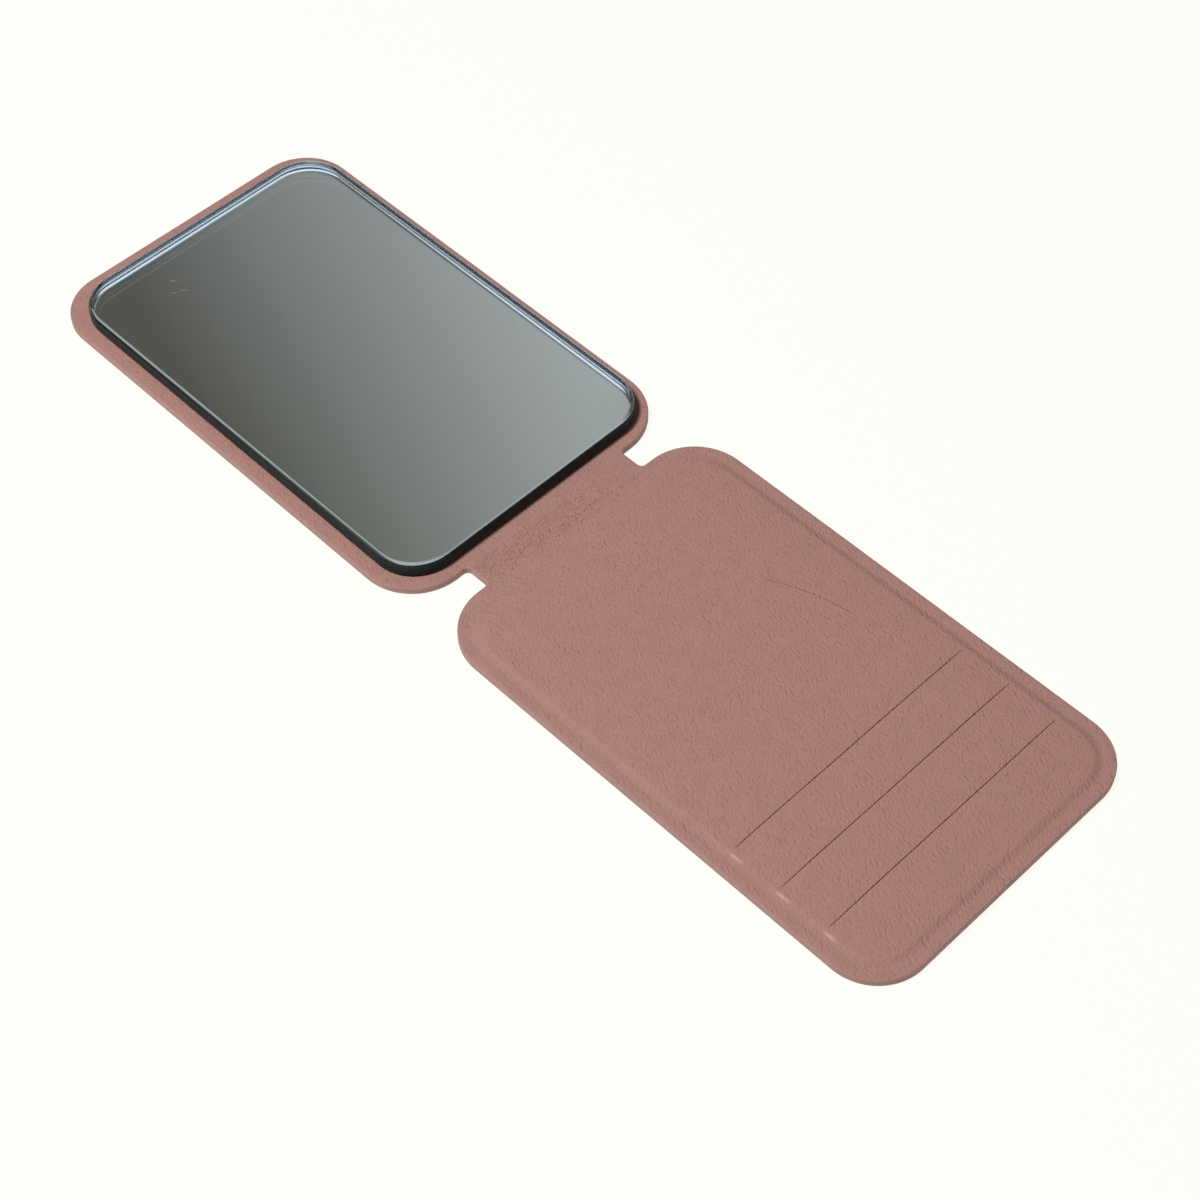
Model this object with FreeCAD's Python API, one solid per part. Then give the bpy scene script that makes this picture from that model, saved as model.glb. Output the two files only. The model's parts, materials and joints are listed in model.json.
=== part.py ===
import FreeCAD, Part
import math
import os

# A folding compact mirror in leather, lying open on its back.
# X runs along the fold. Y runs along the open length, with the mirror panel at +Y and the
# card panel at -Y. Z is up from the table. The origin is on the table, at the middle of the
# fold. Every length is in millimetres.

# Both panels
panel_width = 66.0
panel_length = 103.7
hinge_corner_radius = 11.2
end_corner_radius = 10.3
back_leather_thickness = 0.9
face_leather_thickness = 0.8
leather_edge_bevel = 0.25

# The neck that joins the panels, between its two creases
neck_length = 5.4
neck_width = 38.2
notch_radius = 1.0
notch_land = 0.2
crease_clearance = 0.1
tape_thickness = 0.2
tape_side_setback = 2.5
tape_end_setback = 0.5

# The mirror and what holds it
glass_side_margin = 2.55
glass_hinge_margin = 2.4
glass_end_margin = 4.05
glass_corner_radius = 8.8
glass_thickness = 2.7
glass_front_round = 0.95
glass_back_round = 0.9
silvering_thickness = 0.08
silvering_setback = 0.1
pad_thickness = 0.25
pad_setback = 2.9
mirror_stiffener_thickness = 0.2
mirror_field_margin = 4.2
mirror_field_step = 1.0
mirror_field_radius = 7.0

# The card panel: a raised field over a board and the pocket liners, where the inner leather
# is pared thinner from below
card_field_margin = 2.25
card_field_end_margin = 2.4
card_field_step = 1.5
card_field_ramp = 4.0
card_field_radius = 8.2
card_field_paring = 0.25
card_stiffener_thickness = 0.3
slit_count = 3
slit_length = 57.5
slit_width = 0.4
slit_pitch = 10.3
last_slit_setback = 14.9
liner_thickness = 0.11
liner_drop = 1.5
liner_drop_run = 1.5
liner_tab_length = 4.0
pocket_gap = 0.06

# Room left round pieces that lie in a hollow, how far a cut runs past what it cuts, and how
# near to a level an edge counts as lying on it
lining_clearance = 0.15
cut_overrun = 1.0
level_tolerance = 0.02

# Profile of an embossed step, as shares of its run and of its rise
step_profile_shares = ((0.0, 0.0), (0.22, 0.10), (0.72, 0.90), (1.0, 1.0))
# Most that the glass edge may be rounded, as shares of the glass thickness
front_round_limit_share = 0.55
back_round_limit_share = 0.40

quarter_turn = math.pi / 2

# Levels above the table
margin_top = back_leather_thickness + face_leather_thickness
mirror_field_top = margin_top + mirror_stiffener_thickness
pad_top = mirror_field_top + pad_thickness
glass_bottom = pad_top + silvering_thickness
pocket_stack = (card_stiffener_thickness + pocket_gap
                + slit_count * (liner_thickness + pocket_gap))
pocket_ceiling = back_leather_thickness + pocket_stack
card_field_raise = pocket_stack - card_field_paring
card_field_top = margin_top + card_field_raise

# Distances from the fold
panel_near = neck_length / 2
panel_far = panel_near + panel_length


def rounded_outline(half_width, near, far, near_radius, far_radius, height):
    """Closed wire of a rectangle with round corners, from near to far of the fold."""
    corners = ((half_width - near_radius, near + near_radius, near_radius),
               (half_width - far_radius, far - far_radius, far_radius),
               (far_radius - half_width, far - far_radius, far_radius),
               (near_radius - half_width, near + near_radius, near_radius))
    arcs = []
    for index, (x, y, radius) in enumerate(corners):
        points = []
        for step in range(3):
            angle = (index - 1 + step / 2) * quarter_turn
            points.append(FreeCAD.Vector(x + radius * math.cos(angle),
                                         y + radius * math.sin(angle), height))
        arcs.append(Part.Arc(*points).toShape())
    edges = []
    for index, arc in enumerate(arcs):
        following = arcs[(index + 1) % len(arcs)]
        edges.append(arc)
        edges.append(Part.LineSegment(arc.lastVertex().Point,
                                      following.firstVertex().Point).toShape())
    return Part.Wire(edges)


def slab(outline, thickness):
    """Flat sheet of the given thickness, upwards from an outline."""
    return Part.Face(outline).extrude(FreeCAD.Vector(0, 0, thickness))


def edges_at(shape, height):
    """Edges of a shape that lie flat at one height."""
    found = []
    for edge in shape.Edges:
        box = edge.BoundBox
        low = math.isclose(box.ZMin, height, abs_tol=level_tolerance)
        high = math.isclose(box.ZMax, height, abs_tol=level_tolerance)
        if low and high:
            found.append(edge)
    return found


def inset_panel_outline(side, end, hinge, radius, height):
    """Panel outline drawn in by its own amount at the sides, the free end and the hinge."""
    return rounded_outline(panel_width / 2 - side, panel_near + hinge, panel_far - end,
                           radius, radius, height)


def panel_outline(height):
    """Full outline of a panel, a little rounder at the hinge than at the free end."""
    return rounded_outline(panel_width / 2, panel_near, panel_far,
                           hinge_corner_radius, end_corner_radius, height)


def mirror_field_outline(share, wall, height):
    """Outline of the mirror panel's raised field, a share of the way up its step."""
    inset = mirror_field_margin + mirror_field_step * share + wall
    radius = mirror_field_radius - mirror_field_step * share
    return inset_panel_outline(inset, inset, inset, radius, height)


def card_field_outline(share, wall, height):
    """Outline of the card panel's raised field, which rises softly on the hinge side."""
    side = card_field_margin + card_field_step * share + wall
    end = card_field_end_margin + card_field_step * share + wall
    hinge = card_field_margin + card_field_ramp * share + wall
    radius = card_field_radius - card_field_step * share
    return inset_panel_outline(side, end, hinge, radius, height)


def back_leather():
    """Outer leather of a panel, with its cut edge bevelled on the outside."""
    sheet = slab(panel_outline(0), back_leather_thickness)
    return sheet.makeChamfer(leather_edge_bevel, edges_at(sheet, 0))


def embossed_leather(field_outline, rise, paring):
    """Inner leather of a panel, moulded up over what lies under its field and pared there."""
    sheet = slab(panel_outline(back_leather_thickness), face_leather_thickness)
    sheet = sheet.makeChamfer(leather_edge_bevel, edges_at(sheet, margin_top))
    sections = []
    for run_share, rise_share in step_profile_shares:
        sections.append(field_outline(run_share, 0, margin_top + rise * rise_share))
    field = Part.makeLoft(sections, True, True)
    ceiling = back_leather_thickness + rise + paring
    hollow = Part.makeLoft([field_outline(0, face_leather_thickness, back_leather_thickness),
                            field_outline(1, face_leather_thickness, ceiling)], True, True)
    return sheet.fuse(field).cut(hollow).removeSplitter()


def mirror_face_leather():
    """Inner leather of the mirror panel, raised a little under the glass."""
    return embossed_leather(mirror_field_outline, mirror_stiffener_thickness, 0)


def mirror_stiffener():
    """Board in the hollow of the mirror panel."""
    wall = face_leather_thickness + lining_clearance
    return slab(mirror_field_outline(1, wall, back_leather_thickness), mirror_stiffener_thickness)


def glass_outline(setback, height):
    """Outline of the glass, drawn in by a setback."""
    return inset_panel_outline(glass_side_margin + setback, glass_end_margin + setback,
                               glass_hinge_margin + setback, glass_corner_radius - setback,
                               height)


def mirror_adhesive_pad():
    """Pad that holds the glass off the leather, set back from its edge."""
    return slab(glass_outline(pad_setback, mirror_field_top), pad_thickness)


def mirror_silvering():
    """Reflecting layer and backing paint on the flat underside of the glass."""
    return slab(glass_outline(back_round() + silvering_setback, pad_top), silvering_thickness)


def back_round():
    """Radius of the glass edge at the back."""
    return min(glass_back_round, glass_thickness * back_round_limit_share)


def mirror_glass():
    """Thick glass with its edge polished round, more at the front than at the back."""
    plate = slab(glass_outline(0, glass_bottom), glass_thickness)
    front_round = min(glass_front_round, glass_thickness * front_round_limit_share)
    plate = plate.makeFillet(front_round, edges_at(plate, glass_bottom + glass_thickness))
    return plate.makeFillet(back_round(), edges_at(plate, glass_bottom))


def neck_outline(height):
    """Outline of the neck between its creases, flared by a round notch at each corner."""
    half_width = neck_width / 2
    end = neck_length / 2 - crease_clearance
    flare = half_width + notch_radius
    bend = end - notch_land
    waist = bend - notch_radius
    middle = notch_radius * (1 - math.sin(quarter_turn / 2))
    edges = []
    for side in (1, -1):
        lower_tip = FreeCAD.Vector(side * flare, -side * end, height)
        lower_land = FreeCAD.Vector(side * flare, -side * bend, height)
        lower_bend = FreeCAD.Vector(side * (half_width + middle), side * (middle - bend), height)
        lower_waist = FreeCAD.Vector(side * half_width, -side * waist, height)
        upper_waist = FreeCAD.Vector(side * half_width, side * waist, height)
        upper_bend = FreeCAD.Vector(side * (half_width + middle), side * (bend - middle), height)
        upper_land = FreeCAD.Vector(side * flare, side * bend, height)
        upper_tip = FreeCAD.Vector(side * flare, side * end, height)
        across = FreeCAD.Vector(-side * flare, side * end, height)
        edges.append(Part.LineSegment(lower_tip, lower_land).toShape())
        edges.append(Part.Arc(lower_land, lower_bend, lower_waist).toShape())
        edges.append(Part.LineSegment(lower_waist, upper_waist).toShape())
        edges.append(Part.Arc(upper_waist, upper_bend, upper_land).toShape())
        edges.append(Part.LineSegment(upper_land, upper_tip).toShape())
        edges.append(Part.LineSegment(upper_tip, across).toShape())
    return Part.Wire(edges)


def tape_sheet(clearance):
    """Tape inside the neck, or with a clearance the recess that it lies in."""
    half_width = neck_width / 2 - tape_side_setback + clearance
    half_length = neck_length / 2 - crease_clearance - tape_end_setback + clearance
    corner = FreeCAD.Vector(-half_width, -half_length, back_leather_thickness)
    return Part.makeBox(2 * half_width, 2 * half_length, tape_thickness, corner)


def spine_tape():
    """Reinforcing tape between the two leathers of the neck."""
    return tape_sheet(0)


def spine_back_leather():
    """Outer leather of the neck."""
    return slab(neck_outline(0), back_leather_thickness)


def spine_face_leather():
    """Inner leather of the neck, thinned over the tape."""
    sheet = slab(neck_outline(back_leather_thickness), face_leather_thickness)
    return sheet.cut(tape_sheet(lining_clearance))


def slit_place(index):
    """Distance of a slit from the fold, counted away from the hinge."""
    return panel_far - last_slit_setback - (slit_count - 1 - index) * slit_pitch


def wallet_face_leather():
    """Inner leather of the card panel, embossed and cut through by the card slits."""
    leather = embossed_leather(card_field_outline, card_field_raise, card_field_paring)
    depth = face_leather_thickness + 2 * cut_overrun
    for index in range(slit_count):
        corner = FreeCAD.Vector(-slit_length / 2, slit_place(index) - slit_width / 2,
                                pocket_ceiling)
        leather = leather.cut(Part.makeBox(slit_length, slit_width, depth, corner))
    return leather


def lining_inset():
    """How far a piece in the hollow of the card panel stays inside the field's outline."""
    return face_leather_thickness + lining_clearance


def pocket_liner(index):
    """Sheet behind one slit, which rises past the slit to be glued under the leather there."""
    upper_level = pocket_ceiling - pocket_gap - liner_thickness
    level = upper_level - index * (liner_thickness + pocket_gap)
    half_width = panel_width / 2 - card_field_margin - card_field_step - lining_inset()
    near = panel_near + card_field_margin + card_field_ramp + lining_inset()
    drop_start = slit_place(index) + liner_drop
    drop_end = drop_start + liner_drop_run
    far = drop_end + liner_tab_length
    lower_side = [(near, level), (drop_start, level), (drop_end, upper_level), (far, upper_level)]
    upper_side = [(y, z + liner_thickness) for y, z in reversed(lower_side)]
    if index == 0:
        lower_side = [(near, level), (far, level)]
        upper_side = [(far, level + liner_thickness), (near, level + liner_thickness)]
    points = [FreeCAD.Vector(-half_width, y, z) for y, z in lower_side + upper_side]
    profile = Part.Face(Part.makePolygon(points + points[:1]))
    sheet = profile.extrude(FreeCAD.Vector(2 * half_width, 0, 0))
    radius = card_field_radius - card_field_step
    trim = slab(rounded_outline(half_width, near, far, radius, radius, 0), card_field_top)
    return sheet.common(trim)


def wallet_stiffener():
    """Board in the hollow of the card panel, behind the pockets."""
    return slab(card_field_outline(1, lining_inset(), back_leather_thickness),
                card_stiffener_thickness)


def turned_to_card_side(shape):
    """A shape made on the mirror's side of the fold, turned round to the card's side."""
    turned = shape.copy()
    turned.rotate(FreeCAD.Vector(0, 0, 0), FreeCAD.Vector(0, 0, 1), 180)
    return turned


def all_pieces():
    """Every piece of the object by its name."""
    pieces = {
        "mirror_back_leather": back_leather(),
        "mirror_stiffener": mirror_stiffener(),
        "mirror_face_leather": mirror_face_leather(),
        "mirror_adhesive_pad": mirror_adhesive_pad(),
        "mirror_silvering": mirror_silvering(),
        "mirror_glass": mirror_glass(),
        "spine_back_leather": spine_back_leather(),
        "spine_tape": spine_tape(),
        "spine_face_leather": spine_face_leather(),
        "wallet_back_leather": turned_to_card_side(back_leather()),
        "wallet_stiffener": turned_to_card_side(wallet_stiffener()),
        "wallet_face_leather": turned_to_card_side(wallet_face_leather()),
    }
    for index in range(slit_count):
        pieces["pocket_liner_%d" % (index + 1)] = turned_to_card_side(pocket_liner(index))
    return pieces


os.makedirs("parts", exist_ok=True)
for name, shape in all_pieces().items():
    shape.exportStep("parts/%s.step" % name)
    print(name, len(shape.Solids), round(shape.Volume, 2), shape.isValid())
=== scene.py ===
import json
import logging
import math
from collections.abc import Callable, Iterable, Sequence
from dataclasses import dataclass, field
from enum import Enum

import bpy
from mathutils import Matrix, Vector
from mathutils.geometry import delaunay_2d_cdt
from mathutils.noise import noise


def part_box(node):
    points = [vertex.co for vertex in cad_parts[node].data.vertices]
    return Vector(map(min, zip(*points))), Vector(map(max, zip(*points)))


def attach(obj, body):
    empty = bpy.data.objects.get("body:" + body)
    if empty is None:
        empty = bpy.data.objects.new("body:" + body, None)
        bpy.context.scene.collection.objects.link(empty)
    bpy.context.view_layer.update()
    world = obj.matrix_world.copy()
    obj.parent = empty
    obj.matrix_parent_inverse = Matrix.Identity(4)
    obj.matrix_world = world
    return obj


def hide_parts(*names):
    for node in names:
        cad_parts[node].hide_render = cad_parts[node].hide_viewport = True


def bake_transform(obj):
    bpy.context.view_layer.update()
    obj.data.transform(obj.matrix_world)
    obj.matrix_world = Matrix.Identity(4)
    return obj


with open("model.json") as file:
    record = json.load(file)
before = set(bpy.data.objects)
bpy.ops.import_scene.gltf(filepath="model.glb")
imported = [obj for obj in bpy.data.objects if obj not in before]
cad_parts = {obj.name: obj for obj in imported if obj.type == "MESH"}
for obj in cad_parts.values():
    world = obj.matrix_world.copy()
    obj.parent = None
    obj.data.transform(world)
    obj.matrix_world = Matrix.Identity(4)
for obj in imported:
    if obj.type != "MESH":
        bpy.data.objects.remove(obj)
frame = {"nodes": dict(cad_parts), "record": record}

# A folding compact mirror in leather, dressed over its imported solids. Sizes here are in
# millimetres. Places on a panel are counted from the fold: u along it and v away from it.

MM = 0.001
REST_PLACE = "rest_place"
MERGE_DISTANCE = 1e-4

log = logging.getLogger("compact_mirror")

Place = tuple[float, float]
Point = tuple[float, float, float]
Colour = tuple[float, float, float]
Height = Callable[[float, float], float]


class Side(Enum):
    """The two panels, by the side of the fold on which they lie."""

    MIRROR = (1, "mirror_panel", "mirror", "mirror_side")
    CARD = (-1, "wallet_panel", "wallet", "card_side")

    def __init__(self, sign: int, body: str, node_prefix: str, label: str) -> None:
        """Keeps what is known of a panel.

        Args:
            sign: side of the fold along Y.
            body: name of the panel's body in the frame.
            node_prefix: first word of the names of the panel's nodes.
            label: last words of the names of the panel's own pieces.
        """
        self.sign = sign
        self.body = body
        self.node_prefix = node_prefix
        self.label = label

    def turned(self, u: float, v: float) -> Place:
        """Turns a place counted from the fold into the frame's X and Y."""
        return self.sign * u, self.sign * v


class Tint(Enum):
    """Named colours of the finishes, in linear light."""

    ROSE = (0.393, 0.212, 0.183)
    ROSE_WARM = (0.407, 0.215, 0.181)
    ROSE_COOL = (0.371, 0.202, 0.182)
    # Painted shade of grain valleys, wrinkles and the crease; also the darker fibres of the cut edge.
    ROSE_SHADE_AND_FIBRE = (0.285, 0.140, 0.118)
    ROSE_EDGE = (0.415, 0.232, 0.203)
    # Pale rubbed leather with a painted highlight on the step.
    SCUFF_AND_HIGHLIGHT = (0.66, 0.47, 0.43)
    GLASS = (0.955, 0.985, 0.975)
    DUST = (0.62, 0.63, 0.61)
    SILVER = (0.93, 0.945, 0.94)
    # Dark backing paint; on the glass's rim also a painted shade band.
    RIM_PAINT_AND_SHADE = (0.017, 0.026, 0.027)
    RIM_WEAR = (0.024, 0.033, 0.034)
    PAD = (0.030, 0.028, 0.026)
    PAD_SPECK = (0.060, 0.056, 0.052)
    BOARD = (0.42, 0.36, 0.29)
    BOARD_FIBRE = (0.31, 0.26, 0.20)
    LINING = (0.105, 0.052, 0.042)
    LINING_THREAD = (0.150, 0.080, 0.066)
    PAPER_WHITE = (1.0, 1.0, 0.95)
    FLOOR = (0.93, 0.93, 0.89)


def box_mm(node: str) -> tuple[Vector, Vector]:
    """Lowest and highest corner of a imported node, in millimetres."""
    low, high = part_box(node)
    return low / MM, high / MM


def lerp(start: float, end: float, share: float) -> float:
    """Value a share of the way from start to end."""
    return start + (end - start) * share


def smooth_share(share: float) -> float:
    """Share that starts and ends softly, held between 0 and 1."""
    held = min(max(share, 0.0), 1.0)
    return held * held * (3.0 - 2.0 * held)


def spread(start: float, end: float, spacing: float) -> list[float]:
    """Even steps from start to end, both included, at most a spacing apart."""
    count = max(1, math.ceil(abs(end - start) / spacing))
    return [lerp(start, end, step / count) for step in range(count + 1)]


def quarter_turns(steps: int) -> list[float]:
    """Even angles over a quarter turn, both ends included."""
    return [math.pi / 2 * step / steps for step in range(steps + 1)]


def arc(centre: Place, radius: float, start: float, end: float, segments: int) -> list[Place]:
    """Points on an arc.

    Args:
        centre: middle of the arc.
        radius: radius of the arc.
        start: first angle, in degrees from the u axis.
        end: last angle, in degrees.
        segments: number of chords.

    Returns:
        The points in order, both ends included.
    """
    points = []
    for step in range(segments + 1):
        angle = math.radians(lerp(start, end, step / segments))
        points.append((centre[0] + radius * math.cos(angle), centre[1] + radius * math.sin(angle)))
    return points


def filled_in(points: Sequence[Place], spacing: float) -> list[Place]:
    """Polyline with extra points on its long stretches, at most a spacing apart."""
    result = [points[0]]
    for start, end in zip(points, points[1:]):
        count = max(1, math.ceil(math.dist(start, end) / spacing))
        for step in range(1, count + 1):
            share = step / count
            result.append((lerp(start[0], end[0], share), lerp(start[1], end[1], share)))
    return result


@dataclass(frozen=True)
class RoundedRectangle:
    """A rectangle with round corners, from near to far of the fold."""

    half_width: float
    near: float
    far: float
    near_radius: float
    far_radius: float
    corner_segments: int = 20
    spacing: float = 2.6

    def inset(self, amount: float) -> "RoundedRectangle":
        """The same outline drawn in all round."""
        return RoundedRectangle(self.half_width - amount, self.near + amount, self.far - amount,
                                self.near_radius - amount, self.far_radius - amount)

    def towards(self, other: "RoundedRectangle", share: float) -> "RoundedRectangle":
        """The outline a share of the way to another one."""
        return RoundedRectangle(lerp(self.half_width, other.half_width, share),
                                lerp(self.near, other.near, share),
                                lerp(self.far, other.far, share),
                                lerp(self.near_radius, other.near_radius, share),
                                lerp(self.far_radius, other.far_radius, share))

    def depth(self, u: float, v: float) -> float:
        """Distance of a place inside the outline, negative outside it."""
        at_near = v < (self.near + self.far) / 2
        radius = self.near_radius if at_near else self.far_radius
        across = abs(u) - (self.half_width - radius)
        along = self.near + radius - v if at_near else v - (self.far - radius)
        corner = math.hypot(max(across, 0.0), max(along, 0.0))
        return radius - corner - min(max(across, along), 0.0)

    def right_half(self) -> list[Place]:
        """The two corners at positive u, from the fold to the free end."""
        near_centre = (self.half_width - self.near_radius, self.near + self.near_radius)
        far_centre = (self.half_width - self.far_radius, self.far - self.far_radius)
        return (arc(near_centre, self.near_radius, -90, 0, self.corner_segments)
                + arc(far_centre, self.far_radius, 0, 90, self.corner_segments))

    def ring(self) -> list[Place]:
        """The whole outline as points, without repeating the first one."""
        right = self.right_half()
        left = [(-u, v) for u, v in reversed(right)]
        return filled_in(right + left + right[:1], self.spacing)[:-1]


@dataclass(frozen=True)
class PanelPlan:
    """Plan of one panel with its half of the neck, the same on both sides of the fold."""

    panel: RoundedRectangle
    neck_half_width: float
    notch_radius: float
    notch_segments: int = 8
    edge_spacing: float = 2.2
    neck_spacing: float = 0.35

    @classmethod
    def from_frame(cls, hinge_radius: float = 11.2, end_radius: float = 10.3,
                   notch_radius: float = 1.0) -> "PanelPlan":
        """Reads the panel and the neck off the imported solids.

        Args:
            hinge_radius: corner radius at the fold.
            end_radius: corner radius at the free end.
            notch_radius: radius where the neck meets the panel.

        Returns:
            The plan.
        """
        low, high = box_mm("mirror_back_leather")
        neck_high = box_mm("spine_back_leather")[1]
        panel = RoundedRectangle(high.x, low.y, high.y, hinge_radius, end_radius)
        return cls(panel, neck_high.x - notch_radius, notch_radius)

    def depth(self, u: float, v: float) -> float:
        """Distance of a place inside the cut edge, near enough to sort points by."""
        inside = self.panel.depth(u, v)
        if v < self.panel.near + self.notch_radius:
            return max(inside, self.neck_half_width - abs(u))
        return inside

    def edge(self, inset: float) -> list[Place]:
        """The cut edge from one end of the seam line on the fold round to the other.

        Args:
            inset: how far the line is drawn in from the cut edge.

        Returns:
            The points in order.
        """
        waist = self.panel.near - self.notch_radius
        side = self.neck_half_width - inset
        centre = (self.neck_half_width + self.notch_radius, waist)
        neck = filled_in([(side, 0.0), (side, waist)], self.neck_spacing)
        notch = arc(centre, self.notch_radius + inset, 180, 90, self.notch_segments)
        right = neck + notch[1:] + filled_in(self.panel.inset(inset).right_half(), self.edge_spacing)
        left = [(-u, v) for u, v in reversed(right)]
        end = filled_in([right[-1], left[0]], self.edge_spacing)
        return right + end[1:-1] + left


class SkinFace:
    """One face of a leather sheet, drawn in plan as guide lines and loose points."""

    def __init__(self, level: Height) -> None:
        """Starts with nothing drawn; where guide lines cross, the face lies at this height."""
        self.level = level
        self.places: list[Place] = []
        self.heights: list[float] = []
        self.lines: list[tuple[int, int]] = []

    def scatter(self, places: Iterable[Place], height: Height) -> list[int]:
        """Adds loose points and returns their numbers."""
        first = len(self.places)
        for u, v in places:
            self.places.append((u, v))
            self.heights.append(height(u, v))
        return list(range(first, len(self.places)))

    def chain(self, places: Iterable[Place], height: Height, closed: bool = False) -> list[int]:
        """Adds a guide line that the faces keep to.

        Args:
            places: its points in order.
            height: height above the table by place.
            closed: whether the last point joins the first.

        Returns:
            The numbers of its points.
        """
        numbers = self.scatter(places, height)
        self.lines += list(zip(numbers, numbers[1:]))
        if closed:
            self.lines.append((numbers[-1], numbers[0]))
        return numbers

    def triangles(self, is_hole: Callable[[float, float], bool]
                  ) -> tuple[list[Point], list[list[int]], dict[int, int]]:
        """Fills the outline with triangles.

        Args:
            is_hole: tells whether a place is cut away.

        Returns:
            The points, the triangles, and where each drawn point went.
        """
        coords = [Vector(place) for place in self.places]
        made, _, faces, sources, _, _ = delaunay_2d_cdt(coords, self.lines, [], 1, MERGE_DISTANCE)
        points = []
        went = {}
        for index, origin in enumerate(sources):
            u, v = made[index]
            height = self.heights[origin[0]] if origin else self.level(u, v)
            points.append((u, v, height))
            for number in origin:
                went[number] = index
        kept = []
        for face in faces:
            u = sum(points[corner][0] for corner in face) / len(face)
            v = sum(points[corner][1] for corner in face) / len(face)
            if not is_hole(u, v):
                kept.append(list(face))
        return points, kept, went


def add_object(name: str, data: bpy.types.ID) -> bpy.types.Object:
    """Puts a new object with this data into the scene."""
    made = bpy.data.objects.new(name, data)
    bpy.context.scene.collection.objects.link(made)
    return made


def make_piece(name: str, points: Sequence[Point], faces: Sequence[Sequence[int]],
               face_finishes: Sequence[int] | None = None) -> bpy.types.Object:
    """Makes a smooth mesh piece in the frame.

    Args:
        name: name of the piece.
        points: corners, in millimetres.
        faces: corner numbers of each face.
        face_finishes: number of the material slot of each face, where there is more than one.

    Returns:
        The new object, with its corners' places at rest kept as an attribute.
    """
    mesh = bpy.data.meshes.new(name)
    mesh.from_pydata([tuple(value * MM for value in point) for point in points], [], faces)
    mesh.polygons.foreach_set("use_smooth", [True] * len(mesh.polygons))
    if face_finishes is not None:
        mesh.polygons.foreach_set("material_index", face_finishes)
    rest = mesh.attributes.new(REST_PLACE, "FLOAT_VECTOR", "POINT")
    rest.data.foreach_set("vector", [value for point in points for value in point])
    mesh.validate()
    mesh.update()
    return add_object(name, mesh)


def dress(piece: bpy.types.Object, *materials: bpy.types.Material) -> None:
    """Puts materials into the slots of a new piece, in order."""
    for material in materials:
        piece.data.materials.append(material)


def dress_node(node: str, material: bpy.types.Material) -> None:
    """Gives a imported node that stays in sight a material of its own."""
    frame["nodes"][node].data.materials.clear()
    dress(frame["nodes"][node], material)


def math_operator(operation: str, number_first: bool = False
                  ) -> Callable[["Value", "Value | float"], "Value"]:
    """Makes a method of Value that adds a Math node on it and one other operand.

    Args:
        operation: operation of the node.
        number_first: whether the other operand comes first.

    Returns:
        The method.
    """
    def method(value: "Value", other: "Value | float") -> "Value":
        """Adds the node and returns its output."""
        operands = (other, value) if number_first else (value, other)
        return value.math(operation, *operands)
    return method


class Value:
    """A node's output socket that takes part in Python expressions."""

    def __init__(self, shader: "Shader", socket: bpy.types.NodeSocket) -> None:
        """Keeps the socket and the shader that it belongs to."""
        self.shader = shader
        self.socket = socket

    def math(self, operation: str, *operands: "Value | float") -> "Value":
        """Adds a Math node on these operands."""
        return self.shader.node("ShaderNodeMath", {"operation": operation},
                                dict(enumerate(operands)))

    __add__ = math_operator("ADD")
    __radd__ = math_operator("ADD", number_first=True)
    __sub__ = math_operator("SUBTRACT")
    __rsub__ = math_operator("SUBTRACT", number_first=True)
    __mul__ = math_operator("MULTIPLY")
    __truediv__ = math_operator("DIVIDE")
    __pow__ = math_operator("POWER")
    at_least = math_operator("MAXIMUM")
    at_most = math_operator("MINIMUM")

    def __neg__(self) -> "Value":
        """The same with its sign turned."""
        return self.math("MULTIPLY", self, -1.0)

    def __abs__(self) -> "Value":
        """The same without its sign."""
        return self.math("ABSOLUTE", self)

    def sine(self) -> "Value":
        """Sine of an angle in radians."""
        return self.math("SINE", self)

    def soft_step(self, low: float, high: float) -> "Value":
        """Rises softly from 0 at low to 1 at high."""
        settings = {"interpolation_type": "SMOOTHSTEP"}
        values = {"Value": self, "From Min": low, "From Max": high}
        return self.shader.node("ShaderNodeMapRange", settings, values)

    def soft_line(self, half_width: float) -> "Value":
        """1 where the value is zero, fading to 0 at a half width to each side."""
        return 1.0 - abs(self).soft_step(0.0, half_width)

    def between(self, low: float, high: float, fade: float) -> "Value":
        """1 between two values, with a soft fade outside each."""
        return self.soft_step(low - fade, low) * (1.0 - self.soft_step(high, high + fade))


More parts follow.
